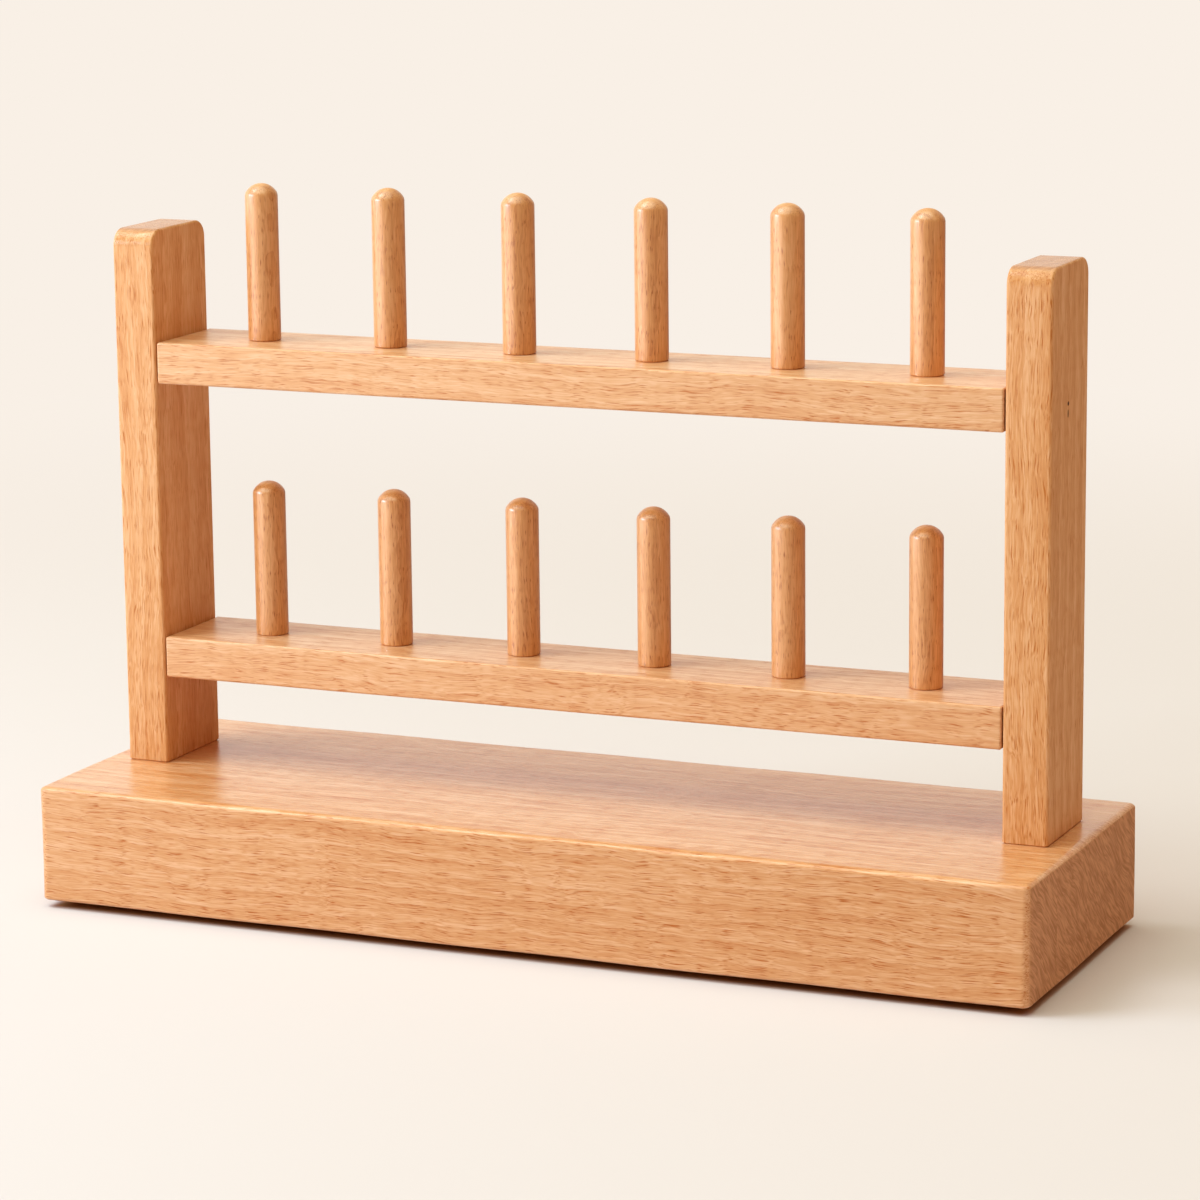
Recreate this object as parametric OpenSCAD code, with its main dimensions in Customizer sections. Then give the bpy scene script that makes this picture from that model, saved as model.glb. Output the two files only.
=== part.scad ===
// Thread stand: two rails of upright pegs carried by two posts on a solid beech base.
// Millimetres, +Z up. The origin lies on the table, below the middle of the base, and the front
// faces -Y.

/* [Base] */
// Depth of the base, front to back
base_depth = 97; // [84:1:140]
// Height of the base
base_height = 34; // [24:0.5:48]
// How far the base runs past each post
base_overhang = 8; // [4:0.5:30]
// Rounding of the edges of the base
base_rounding = 1.2; // [0.5:0.1:3]

/* [Pads] */
// Height of a pad, which holds the base clear of the table
pad_height = 2; // [1:0.1:4]
// Diameter of a pad
pad_diameter = 12; // [8:0.5:20]
// Distance from the sides of the base in to the middle of a pad
pad_inset = 20; // [14:0.5:30]
// Easing round the lower rim of a pad
pad_ease = 0.4; // [0.1:0.1:0.8]

/* [Posts] */
// Thickness of a post, left to right
post_thickness = 13; // [11:0.5:20]
// Depth of the posts and the rails, front to back
post_depth = 32; // [28:0.5:44]
// How far a post stands up past the upper rail
post_rise = 32.5; // [12:0.5:60]
// Rounding of the front and back corners at the top of a post
post_corner = 5; // [4:0.5:9]
// How far the posts stand behind the middle of the base
row_setback = 7; // [0:0.5:18]
// Easing of the edges of the posts and the rails
edge_ease = 0.8; // [0.3:0.1:1.8]

/* [Rails] */
// Thickness of a rail
rail_thickness = 12; // [10:0.5:18]
// Open height between the base and the lower rail
foot_gap = 26; // [20:0.5:60]
// Open height between the lower rail and the upper rail
bay_height = 75; // [66:0.5:120]

/* [Pegs] */
// Diameter of a peg
peg_diameter = 9.5; // [7:0.1:14]
// Height of a peg above its rail
peg_rise = 45.5; // [24:0.5:60]
// Height of the domed top of a peg
peg_dome = 3.1; // [1:0.1:3.4]
// Distance from one peg to the next
peg_pitch = 40.6; // [25:0.1:60]
// Distance from the last peg to the post
peg_margin = 27.5; // [22:0.5:50]
// Number of pegs on a rail
pegs_per_rail = 6; // [2:1:6]
// Easing round the foot of a peg, where it stands on its rail
foot_ease = 0.35; // [0.1:0.05:0.6]
// Step from the peg in to its thinner tenon, on the radius
tenon_step = 1; // [0.8:0.1:2]
// Taper at the lower end of a tenon
tenon_lead = 0.8; // [0.2:0.1:2]
// Wood left under a peg's socket
socket_floor = 3; // [2:0.5:5]
// Easing at the mouth of a peg's socket
socket_mouth = 0.2; // [0.05:0.05:0.3]

/* [Hidden dowels] */
// Diameter of a dowel between a rail and a post
dowel_diameter = 6; // [4:0.5:7]
// Depth of a dowel in the post
dowel_in_post = 8; // [5:0.5:9]
// Depth of a dowel in the rail
dowel_in_rail = 12; // [8:0.5:16]
// Distance between the two dowels at a rail end
dowel_spacing = 16; // [10:0.5:19]
// Taper at the ends of a dowel
dowel_lead = 0.6; // [0.2:0.1:1.5]

/* [Post screws] */
// Diameter over the thread of a post screw
screw_diameter = 4; // [3:0.1:5]
// Diameter of a screw's head
screw_head_diameter = 8; // [6.5:0.1:9]
// Height of a screw's conical head
screw_head_height = 2.4; // [1.8:0.1:3.5]
// Depth of a screw's head inside the underside of the base
screw_recess = 6; // [2:0.5:12]
// Depth of a screw in the post
screw_bite = 22; // [15:0.5:26]
// Length of a screw's tapered point
screw_point = 5; // [3:0.5:8]
// Distance between the two screws of a post
screw_spacing = 16; // [10:0.5:18]
// Depth of the cross slot in a screw's head
slot_depth = 1.5; // [0.8:0.1:1.6]
// Length of an arm of the cross slot, end to end
slot_length = 4.2; // [3:0.1:4.6]
// Width of an arm of the cross slot
slot_width = 0.9; // [0.6:0.1:1.2]

/* [Fits] */
// Hairline gap between the end of a rail and the post
joint_gap = 0.4; // [0.1:0.05:0.8]
// Gap all round a tenon, dowel or screw in its hole
fit_clearance = 0.05; // [0.03:0.01:0.1]
// Gap past the end of a tenon, dowel or screw
end_clearance = 0.5; // [0.2:0.1:1]
// Gap round a screw's head in its counterbore
head_clearance = 0.5; // [0.2:0.1:1]

/* [Hidden] */
$fn = 64;
// Small overrun that carries a cut past the face it opens through
overrun = 1;

// The row of pegs sets the rails and the posts, and the posts set the base.
post_inner = (pegs_per_rail - 1) * peg_pitch / 2 + peg_margin;
rail_length = 2 * (post_inner - joint_gap);
post_x = post_inner + post_thickness / 2;
base_length = 2 * (post_inner + post_thickness + base_overhang);

// Heights, worked up from the table.
base_top = pad_height + base_height;
lower_rail_top = base_top + foot_gap + rail_thickness;
upper_rail_top = lower_rail_top + bay_height + rail_thickness;
post_height = upper_rail_top + post_rise - base_top;

// A peg stands on its rail by the shoulder above its tenon.
tenon_radius = peg_diameter / 2 - tenon_step;
socket_radius = tenon_radius + fit_clearance;
socket_depth = rail_thickness - socket_floor;
tenon_length = socket_depth - end_clearance;
// Radius of the ball whose cap is the domed top of a peg.
dome_ball = (pow(peg_diameter / 2, 2) + pow(peg_dome, 2)) / (2 * peg_dome);

dowel_length = dowel_in_post + joint_gap + dowel_in_rail;
screw_length = base_height - screw_recess + screw_bite;

BEECH = [0.84, 0.64, 0.43];
BEECH_PEG = [0.87, 0.68, 0.47];
DOWEL_WOOD = [0.88, 0.74, 0.55];
STEEL = [0.72, 0.72, 0.7];
RUBBER = [0.12, 0.12, 0.12];

// Place of peg i along the row, counted from 1 at the left.
function peg_x(i) = (i - (pegs_per_rail + 1) / 2) * peg_pitch;

// Height of the middle of a rail whose top is at the given height.
function rail_middle(rail_top) = rail_top - rail_thickness / 2;

// Rectangle about the origin with its four corners rounded.
module soft_rect(width, height, radius) {
    square([width - 2 * radius, height], center = true);
    square([width, height - 2 * radius], center = true);
    for (x = [-1, 1], y = [-1, 1])
        translate([x * (width / 2 - radius), y * (height / 2 - radius)])
            circle(r = radius);
}

// Rectangle standing on the X axis with only its two top corners rounded.
module soft_top(width, height, radius) {
    translate([-width / 2, 0]) square([width, height - radius]);
    translate([-width / 2 + radius, 0]) square([width - 2 * radius, height]);
    for (x = [-1, 1])
        translate([x * (width / 2 - radius), height - radius]) circle(r = radius);
}

// Sweep a front-view outline through a depth, front to back.
module through_y(depth) {
    rotate([90, 0, 0]) linear_extrude(depth, center = true) children();
}

// Sweep a side-view outline through a length, left to right.
module through_x(length) {
    rotate([90, 0, 90]) linear_extrude(length, center = true) children();
}

// Block about the origin with all twelve edges rounded.
module soft_block(length, depth, height, radius) {
    intersection() {
        linear_extrude(height, center = true) soft_rect(length, depth, radius);
        through_y(depth) soft_rect(length, height, radius);
        through_x(length) soft_rect(depth, height, radius);
    }
}

// The two fixings at one joint, set apart front to back about the middle of the row.
module fixing_pair(spacing) {
    for (y = [-1, 1]) translate([0, row_setback + y * spacing / 2, 0]) children();
}

// Hidden dowel along X through x = 0, the inner face of the left post, with tapered ends.
module dowel() {
    end_radius = dowel_diameter / 2 - dowel_lead;
    translate([-dowel_in_post, 0, 0]) rotate([0, 90, 0]) {
        cylinder(h = dowel_lead, r1 = end_radius, r2 = dowel_diameter / 2);
        translate([0, 0, dowel_lead])
            cylinder(h = dowel_length - 2 * dowel_lead, d = dowel_diameter);
        translate([0, 0, dowel_length - dowel_lead])
            cylinder(h = dowel_lead, r1 = dowel_diameter / 2, r2 = end_radius);
    }
}

// Hole that takes a dowel, in both the post and the rail.
module dowel_hole() {
    translate([-dowel_in_post - end_clearance, 0, 0]) rotate([0, 90, 0])
        cylinder(h = dowel_length + 2 * end_clearance, r = dowel_diameter / 2 + fit_clearance);
}

// Both dowels, or their holes, where a rail meets the post on one side: -1 is left and 1 is right.
module at_rail_end(side, rail_top) {
    translate([side * post_inner, 0, rail_middle(rail_top)])
        mirror([side > 0 ? 1 : 0, 0, 0])
            fixing_pair(dowel_spacing) children();
}

// Wood screw pointing up from its head at z = 0, drawn plain at the diameter over its thread.
module screw() {
    difference() {
        union() {
            cylinder(h = screw_head_height, d1 = screw_head_diameter, d2 = screw_diameter);
            cylinder(h = screw_length - screw_point, d = screw_diameter);
            translate([0, 0, screw_length - screw_point])
                cylinder(h = screw_point, d1 = screw_diameter, d2 = 0);
        }
        for (turn = [0, 90])
            rotate([0, 0, turn])
                translate([-slot_length / 2, -slot_width / 2, -overrun])
                    cube([slot_length, slot_width, slot_depth + overrun]);
    }
}

// Hole that a screw runs in, with its conical seat and the counterbore below it.
module screw_hole() {
    translate([0, 0, -screw_recess - overrun])
        cylinder(h = screw_recess + overrun, r = screw_head_diameter / 2 + head_clearance);
    cylinder(
        h = screw_head_height,
        r1 = screw_head_diameter / 2 + fit_clearance,
        r2 = screw_diameter / 2 + fit_clearance
    );
    cylinder(h = screw_length + end_clearance, r = screw_diameter / 2 + fit_clearance);
}

// Both screws, or their holes, under the post on one side.
module under_post(side) {
    translate([side * post_x, 0, pad_height + screw_recess])
        fixing_pair(screw_spacing) children();
}

module base() {
    color(BEECH) difference() {
        translate([0, 0, pad_height + base_height / 2])
            soft_block(base_length, base_depth, base_height, base_rounding);
        for (side = [-1, 1]) under_post(side) screw_hole();
    }
}

// Disc about the X axis with eased rims, which rounds a top corner of a post.
module corner_disc() {
    rotate([0, 90, 0]) rotate_extrude() {
        translate([0, -post_thickness / 2]) square([post_corner - edge_ease, post_thickness]);
        translate([0, edge_ease - post_thickness / 2])
            square([post_corner, post_thickness - 2 * edge_ease]);
        for (y = [-1, 1])
            translate([post_corner - edge_ease, y * (post_thickness / 2 - edge_ease)])
                circle(r = edge_ease);
    }
}

// Post standing on z = 0, with its easing carried round the curve of its top corners.
module post_blank() {
    linear_extrude(post_height - post_corner) soft_rect(post_thickness, post_depth, edge_ease);
    through_y(post_depth - 2 * post_corner) soft_top(post_thickness, post_height, edge_ease);
    for (y = [-1, 1])
        translate([0, y * (post_depth / 2 - post_corner), post_height - post_corner])
            corner_disc();
}

module post(side) {
    color(BEECH) difference() {
        translate([side * post_x, row_setback, base_top]) post_blank();
        under_post(side) screw_hole();
        for (rail_top = [lower_rail_top, upper_rail_top]) at_rail_end(side, rail_top) dowel_hole();
    }
}

// Blind socket for a peg, cut down from z = 0, with an eased mouth.
module peg_socket() {
    translate([0, 0, -socket_depth]) cylinder(h = socket_depth + overrun, r = socket_radius);
    translate([0, 0, -socket_mouth])
        cylinder(h = 2 * socket_mouth, r1 = socket_radius, r2 = socket_radius + 2 * socket_mouth);
}

module rail(rail_top) {
    color(BEECH) difference() {
        translate([0, row_setback, rail_middle(rail_top)])
            soft_block(rail_length, post_depth, rail_thickness, edge_ease);
        for (i = [1 : pegs_per_rail]) translate([peg_x(i), row_setback, rail_top]) peg_socket();
        for (side = [-1, 1]) at_rail_end(side, rail_top) dowel_hole();
    }
}

// Cap of a ball, standing on z = 0, that closes the top of a peg.
module dome() {
    intersection() {
        translate([0, 0, peg_dome - dome_ball]) sphere(r = dome_ball);
        cylinder(h = 2 * peg_dome, d = peg_diameter);
    }
}

module peg(i, rail_top) {
    shaft_top = peg_rise - peg_dome;
    color(BEECH_PEG) translate([peg_x(i), row_setback, rail_top]) {
        translate([0, 0, -tenon_length])
            cylinder(h = tenon_lead, r1 = tenon_radius - tenon_lead / 2, r2 = tenon_radius);
        translate([0, 0, tenon_lead - tenon_length])
            cylinder(h = tenon_length - tenon_lead, r = tenon_radius);
        cylinder(h = foot_ease, r1 = peg_diameter / 2 - foot_ease, r2 = peg_diameter / 2);
        translate([0, 0, foot_ease]) cylinder(h = shaft_top - foot_ease, d = peg_diameter);
        translate([0, 0, shaft_top]) dome();
    }
}

module rail_dowels(side, rail_top) {
    color(DOWEL_WOOD) at_rail_end(side, rail_top) dowel();
}

module post_screws(side) {
    color(STEEL) under_post(side) screw();
}

// Round pad stuck under one corner of the base: side -1 is left, and row -1 is the front.
module pad(side, row) {
    x = side * (base_length / 2 - pad_inset);
    y = row * (base_depth / 2 - pad_inset);
    color(RUBBER) translate([x, y, 0]) {
        cylinder(h = pad_ease, r1 = pad_diameter / 2 - pad_ease, r2 = pad_diameter / 2);
        translate([0, 0, pad_ease]) cylinder(h = pad_height - pad_ease, d = pad_diameter);
    }
}

base();
post(-1);  // left_post
post(1);  // right_post
rail(upper_rail_top);  // upper_rail
rail(lower_rail_top);  // lower_rail
for (i = [1 : pegs_per_rail]) {
    peg(i, upper_rail_top);
    peg(i, lower_rail_top);
}
rail_dowels(-1, upper_rail_top);  // upper_rail_left_dowels
rail_dowels(1, upper_rail_top);  // upper_rail_right_dowels
rail_dowels(-1, lower_rail_top);  // lower_rail_left_dowels
rail_dowels(1, lower_rail_top);  // lower_rail_right_dowels
post_screws(-1);  // left_post_screws
post_screws(1);  // right_post_screws
pad(-1, -1);  // front_left_pad
pad(1, -1);  // front_right_pad
pad(-1, 1);  // back_left_pad
pad(1, 1);  // back_right_pad
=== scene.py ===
# %% [markdown]
# # A thread stand in lacquered beech
# A thread stand keeps sewing thread in order: each spool drops over an upright peg, and the thread
# is drawn off from there. This one has two rails of six pegs, carried by two posts on a heavy base,
# all of it beech under a satin lacquer.
#
# The lesson dresses a finished frame. The frame gives every piece its true size and place, and this
# file rebuilds the wooden pieces as clean surfaces with eased edges, gives them a wood that is
# grown rather than painted on, and lights them the way the photograph does. Lengths are in metres
# where no comment says otherwise.

# %% Load the frame
import math

import bmesh
import bpy
import numpy as np
from mathutils import Matrix, Vector


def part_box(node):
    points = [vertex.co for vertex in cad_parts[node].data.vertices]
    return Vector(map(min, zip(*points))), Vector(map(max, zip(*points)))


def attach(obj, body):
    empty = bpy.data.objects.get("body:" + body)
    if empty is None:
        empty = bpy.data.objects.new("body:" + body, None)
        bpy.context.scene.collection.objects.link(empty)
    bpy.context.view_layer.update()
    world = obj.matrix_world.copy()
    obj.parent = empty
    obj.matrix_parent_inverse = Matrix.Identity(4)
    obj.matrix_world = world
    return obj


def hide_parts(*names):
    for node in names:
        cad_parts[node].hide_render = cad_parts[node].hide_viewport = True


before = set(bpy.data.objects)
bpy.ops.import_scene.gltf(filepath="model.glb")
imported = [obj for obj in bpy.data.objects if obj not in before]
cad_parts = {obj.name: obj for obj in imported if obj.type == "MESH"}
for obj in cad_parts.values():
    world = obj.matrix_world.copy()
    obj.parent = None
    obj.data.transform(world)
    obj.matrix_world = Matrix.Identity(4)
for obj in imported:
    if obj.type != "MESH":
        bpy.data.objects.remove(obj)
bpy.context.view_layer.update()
MM = 0.001

# %% [markdown]
# ## Camera
# The picture was taken from the right front and a little above, with a long lens: the far end of
# the base is hardly smaller than the near end. A camera can be placed by hand until it looks right,
# but it is steadier to say what it looks at, from which side, how high and how far.

# %% Camera
AIM = Vector((6.4, 0.7, 92.9)) * MM
DISTANCE = 1237 * MM
YAW = math.radians(23.64)
PITCH = math.radians(11.59)
ROLL = math.radians(-0.63)
LENS_MM = 131.5
FURTHEST = 60

turn = Matrix.Rotation(YAW, 4, "Z")
tilt = Matrix.Rotation(math.pi / 2 - PITCH, 4, "X")
level = Matrix.Rotation(ROLL, 4, "Z")
facing = turn @ tilt @ level
camera = bpy.data.objects.new("camera", bpy.data.cameras.new("camera"))
camera.data.lens = LENS_MM
camera.data.clip_end = FURTHEST
camera.matrix_world = Matrix.Translation(AIM + facing.to_3x3() @ Vector((0, 0, DISTANCE))) @ facing
bpy.context.scene.collection.objects.link(camera)
bpy.context.scene.camera = camera
bpy.context.scene.view_settings.view_transform = "Standard"
print("camera at", [round(x / MM) for x in camera.location], "mm")

# %% [markdown]
# ## Nodes and colours
# Every finish below is a graph of nodes. A few helpers keep those graphs short to read: one turns a
# colour that is written the way a picture editor shows it into the linear light that Blender works
# in, one adds a node with its settings and its links, and one starts an empty material.

# %% Helpers for materials


def linear(hex_code):
    """Linear colour of an sRGB hex code: each channel is undone from the sRGB curve."""
    channel = np.array([int(hex_code[i : i + 2], 16) for i in (0, 2, 4)]) / 255
    low = channel / 12.92
    high = ((channel + 0.055) / 1.055) ** 2.4
    return (*np.where(channel <= 0.04045, low, high).tolist(), 1.0)


def add_node(tree, kind, settings=None, links=None):
    """Adds one node: settings go to its properties or input sockets, links join its inputs."""
    node = tree.nodes.new(kind)
    for key, value in (settings or {}).items():
        if isinstance(key, str) and hasattr(node, key):
            setattr(node, key, value)
        else:
            node.inputs[key].default_value = value
    for key, source in (links or {}).items():
        tree.links.new(source, node.inputs[key])
    return node


def blank_material(name):
    """A new material with an empty graph and its output node."""
    material = bpy.data.materials.new(name)
    material.use_nodes = True
    material.node_tree.nodes.clear()
    return material, add_node(material.node_tree, "ShaderNodeOutputMaterial")


print("helpers ready: the grey 808080 is", round(linear("808080")[0], 3), "in linear light")

# %% [markdown]
# ## Floor
# The photograph has a seamless cream sweep of paper. A curved sheet would show its bend from other
# sides, so here it is one large flat floor. Near the object it is lit as anything is, so it keeps
# the shadow. Further out it fades into plain cream, so no horizon shows from any side. Under the
# base the paper is painted brown: painted shade, warmed as if by light off the wood.

# %% Paper of the floor
CREAM = linear("F9F0E6")
PAPER_TONE = linear("DCD1D4")
# Painted shade: the brown painted on the paper under the base, warmed as if by light off the wood.
PAINTED_SHADE_TONE = linear("A87850")
UNDER_EDGE = 4 * MM
FADE_START = 0.32
FADE_END = 1.0

floor_finish, floor_out = blank_material("cream_paper_sweep")
tree = floor_finish.node_tree
spot = add_node(tree, "ShaderNodeTexCoord")
reach = add_node(tree, "ShaderNodeVectorMath", {"operation": "LENGTH"}, {0: spot.outputs["Object"]})
fade = add_node(
    tree,
    "ShaderNodeMapRange",
    {"interpolation_type": "SMOOTHSTEP", "From Min": FADE_START, "From Max": FADE_END},
    {"Value": reach.outputs["Value"]},
)
# How far a spot lies outside the base's outline drawn in by the soft edge of the painted shade.
outline = (*[edge - UNDER_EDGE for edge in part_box("base")[1].xy], 0)
beside = add_node(tree, "ShaderNodeVectorMath", {"operation": "ABSOLUTE"}, {0: spot.outputs["Object"]})
for operation, value in (("SUBTRACT", outline), ("MAXIMUM", (0, 0, 0)), ("LENGTH", (0, 0, 0))):
    beside = add_node(
        tree, "ShaderNodeVectorMath", {"operation": operation, 1: value}, {0: beside.outputs[0]}
    )
# Share of the painted shade: full inside the drawn-in outline, none at the base's own edge.
under = add_node(
    tree,
    "ShaderNodeMapRange",
    {"interpolation_type": "SMOOTHSTEP", "From Min": UNDER_EDGE, "From Max": 0},
    {"Value": beside.outputs["Value"]},
)
paper_or_painted_shade = add_node(
    tree, "ShaderNodeMix", {"data_type": "RGBA", 6: PAPER_TONE, 7: PAINTED_SHADE_TONE}, {0: under.outputs[0]}
)
paper = add_node(tree, "ShaderNodeBsdfDiffuse", links={"Color": paper_or_painted_shade.outputs[2]})
print("paper fades to plain cream from", FADE_START, "to", FADE_END, "m")

# %% [markdown]
# ## What the lacquer mirrors
# Satin lacquer shows its surroundings as soft pale veils, strong towards the window at the left
# front and faint towards the rest of the room. A room with screens could be built for it to mirror.
# It is simpler to let the rays that come from a reflection meet a floor and a room of another
# brightness than the eye does. Close to the base they meet the real paper, so that the lower edges
# don't shine.

# %% Floor in reflections
# Brightest and dimmest that the floor gets, how far to either side it changes and how steeply, how
# far to the front and the back it changes, and what is left of it at the back.
TABLE_BRIGHT = 5.0
TABLE_DIM = 0.2
TABLE_REACH = 0.6
TABLE_STEEPNESS = 3
TABLE_DEPTH = 0.25
TABLE_BACK = 0.2


def seen_rays(tree):
    """Light Path, and a number that is 1 on rays from the eye, a reflection or a clear body."""
    ray = add_node(tree, "ShaderNodeLightPath")
    seen = ray.outputs["Is Camera Ray"]
    for kind in ("Is Glossy Ray", "Is Transmission Ray"):
        either = add_node(
            tree, "ShaderNodeMath", {"operation": "MAXIMUM"}, {0: seen, 1: ray.outputs[kind]}
        )
        seen = either.outputs[0]
    return ray, seen


side = add_node(tree, "ShaderNodeSeparateXYZ", links={0: spot.outputs["Object"]})
leftness = add_node(
    tree,
    "ShaderNodeMapRange",
    {"From Min": TABLE_REACH, "From Max": -TABLE_REACH},
    {"Value": side.outputs["X"]},
)
rise = add_node(
    tree, "ShaderNodeMath", {"operation": "POWER", 1: TABLE_STEEPNESS}, {0: leftness.outputs[0]}
)
frontness = add_node(
    tree,
    "ShaderNodeMapRange",
    {"From Min": TABLE_DEPTH, "From Max": -TABLE_DEPTH, "To Min": TABLE_BACK},
    {"Value": side.outputs["Y"]},
)
left_front = add_node(
    tree, "ShaderNodeMath", {"operation": "MULTIPLY"}, {0: rise.outputs[0], 1: frontness.outputs[0]}
)
table = add_node(
    tree,
    "ShaderNodeMapRange",
    {"To Min": TABLE_DIM, "To Max": TABLE_BRIGHT},
    {"Value": left_front.outputs[0]},
)
ray, seen = seen_rays(tree)
glow = add_node(tree, "ShaderNodeMix", {3: 1.0}, {0: ray.outputs["Is Camera Ray"], 2: table.outputs[0]})
plain = add_node(tree, "ShaderNodeEmission", {"Color": CREAM}, {"Strength": glow.outputs[0]})
print("floor in reflections is", TABLE_BRIGHT, "at the left front and", TABLE_DIM, "at the right")

# %% Floor
CLEAR_REACH = 24 * MM
FLOOR_HALF = 9.0

clear = add_node(
    tree,
    "ShaderNodeMapRange",
    {"interpolation_type": "SMOOTHSTEP", "From Min": UNDER_EDGE, "From Max": CLEAR_REACH},
    {"Value": beside.outputs["Value"]},
)
mirrored = add_node(
    tree,
    "ShaderNodeMath",
    {"operation": "MULTIPLY"},
    {0: clear.outputs[0], 1: ray.outputs["Is Glossy Ray"]},
)
plainer = add_node(
    tree, "ShaderNodeMath", {"operation": "MAXIMUM"}, {0: fade.outputs[0], 1: mirrored.outputs[0]}
)
share = add_node(tree, "ShaderNodeMath", {"operation": "MULTIPLY"}, {0: plainer.outputs[0], 1: seen})
sweep = add_node(
    tree,
    "ShaderNodeMixShader",
    links={0: share.outputs[0], 1: paper.outputs[0], 2: plain.outputs[0]},
)
tree.links.new(sweep.outputs[0], floor_out.inputs["Surface"])

floor_mesh = bpy.data.meshes.new("floor")
floor_mesh.from_pydata(
    [(x * FLOOR_HALF, y * FLOOR_HALF, 0) for x, y in ((-1, -1), (1, -1), (1, 1), (-1, 1))],
    [],
    [(0, 1, 2, 3)],
)
floor_mesh.materials.append(floor_finish)
floor = bpy.data.objects.new("floor", floor_mesh)
bpy.context.scene.collection.objects.link(floor)
print("floor", 2 * FLOOR_HALF, "m across")

# %% [markdown]
# ## Room
# The world stands for the room round the table. To the eye it is the cream of the far floor, so the
# two run into one. To a reflection it is brighter at the left than at the right. As light it gives
# only what the room throws back into the shadows, which is dim and warm.

# %% Room
ROOM_LIGHT = 0.42
ROOM_TONE = linear("FFC68C")
ROOM_LEFT = 1.5
ROOM_RIGHT = 0.2

world = bpy.data.worlds.new("cream_room")
world.use_nodes = True
bpy.context.scene.world = world
tree = world.node_tree
tree.nodes.clear()
dim = add_node(tree, "ShaderNodeBackground", {"Color": ROOM_TONE, "Strength": ROOM_LIGHT})
way = add_node(tree, "ShaderNodeTexCoord")
side = add_node(tree, "ShaderNodeSeparateXYZ", links={0: way.outputs["Generated"]})
room = add_node(
    tree,
    "ShaderNodeMapRange",
    {"From Min": -1, "From Max": 1, "To Min": ROOM_LEFT, "To Max": ROOM_RIGHT},
    {"Value": side.outputs["X"]},
)
ray, seen = seen_rays(tree)
glow = add_node(tree, "ShaderNodeMix", {3: 1.0}, {0: ray.outputs["Is Camera Ray"], 2: room.outputs[0]})
bright = add_node(tree, "ShaderNodeBackground", {"Color": CREAM}, {"Strength": glow.outputs[0]})
sky = add_node(tree, "ShaderNodeMixShader", links={0: seen, 1: dim.outputs[0], 2: bright.outputs[0]})
add_node(tree, "ShaderNodeOutputWorld", links={"Surface": sky.outputs[0]})
print("room light", ROOM_LIGHT, "and in reflections", ROOM_LEFT, "at the left")

# %% [markdown]
# ## Lamps
# Three lamps make the light of the photograph. A window at the left front, low enough to leave the
# right sides in soft shade, lights the fronts. A very soft light from overhead lights the tops.
# A small, harder one from the upper left draws the thin bright lines along the top edges.

# %% Lamps
WINDOW_FROM = Vector((-0.75, -0.48, 0.36))
WINDOW_DISTANCE = 1.3
WINDOW_WIDTH = 0.65
WINDOW_HEIGHT = 0.3
WINDOW_STRENGTH = 2.4
WINDOW_TONE = "D2EDFF"
# Where each of the two far lamps shines from, its strength, its angle across in degrees, its tone.
OVERHEAD = (Vector((-0.15, -0.22, 0.96)), 2.38, 70, "E0FAE8")
GLINT = (Vector((-0.5, -0.2, 0.84)), 0.75, 24, "ECF5FF")


def add_lamp(name, kind, comes_from, settings):
    """A lamp that shines from the given side towards the object, at the distance of that vector."""
    lamp = bpy.data.lights.new(name, kind)
    for key, value in settings.items():
        setattr(lamp, key, value)
    holder = bpy.data.objects.new(name, lamp)
    holder.location = comes_from
    holder.rotation_mode = "QUATERNION"
    holder.rotation_quaternion = comes_from.to_track_quat("Z", "Y")
    bpy.context.scene.collection.objects.link(holder)
    print(name, "from", [round(step, 2) for step in comes_from])


# To give the wanted light at the object, a lamp needs that light times pi and its distance squared.
add_lamp(
    "window",
    "AREA",
    WINDOW_FROM.normalized() * WINDOW_DISTANCE,
    {
        "shape": "RECTANGLE",
        "size": WINDOW_WIDTH,
        "size_y": WINDOW_HEIGHT,
        "energy": WINDOW_STRENGTH * math.pi * WINDOW_DISTANCE**2,
        "color": linear(WINDOW_TONE)[:3],
    },
)
for name, (comes_from, strength, angle, tone) in (("overhead", OVERHEAD), ("glint", GLINT)):
    settings = {"energy": strength, "angle": math.radians(angle), "color": linear(tone)[:3]}
    add_lamp(name, "SUN", comes_from, settings)

# %% [markdown]
# ## Lacquered beech
# Beech is a pale pinkish-orange hardwood. Its mark is the fleck: short dark dashes, a few
# millimetres long and a fraction of one wide, where the rays of the trunk come to the surface.
# Between them run faint wavy lines of the growth rings and a fine straight fibre.
#
# An image could be wrapped around each piece, but its seams would show at every edge. A solid
# texture is carved from the wood as a saw would do it: the pattern fills space, in millimetres with
# the grain along its first axis, and each face shows its own cut through it. The fibres sway slowly
# along the board and ripple a little from fleck to fleck, so the space is bent twice first.

# %% Space of a board
# Each bend: length, width and thickness of its waves, and how far it shifts the fibres, all in mm.
SWAY = ((70, 22, 22), (0, 6, 6))
RIPPLE = ((9, 8, 8), (4, 1.3, 1.3))


def grain_noise(tree, space, size, detail=1):
    """Noise in clouds of the given length, width and thickness: the space is divided by them."""
    cells = add_node(tree, "ShaderNodeVectorMath", {"operation": "DIVIDE", 1: size}, {0: space})
    return add_node(
        tree, "ShaderNodeTexNoise", {"Scale": 1, "Detail": detail}, {"Vector": cells.outputs[0]}
    )


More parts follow.
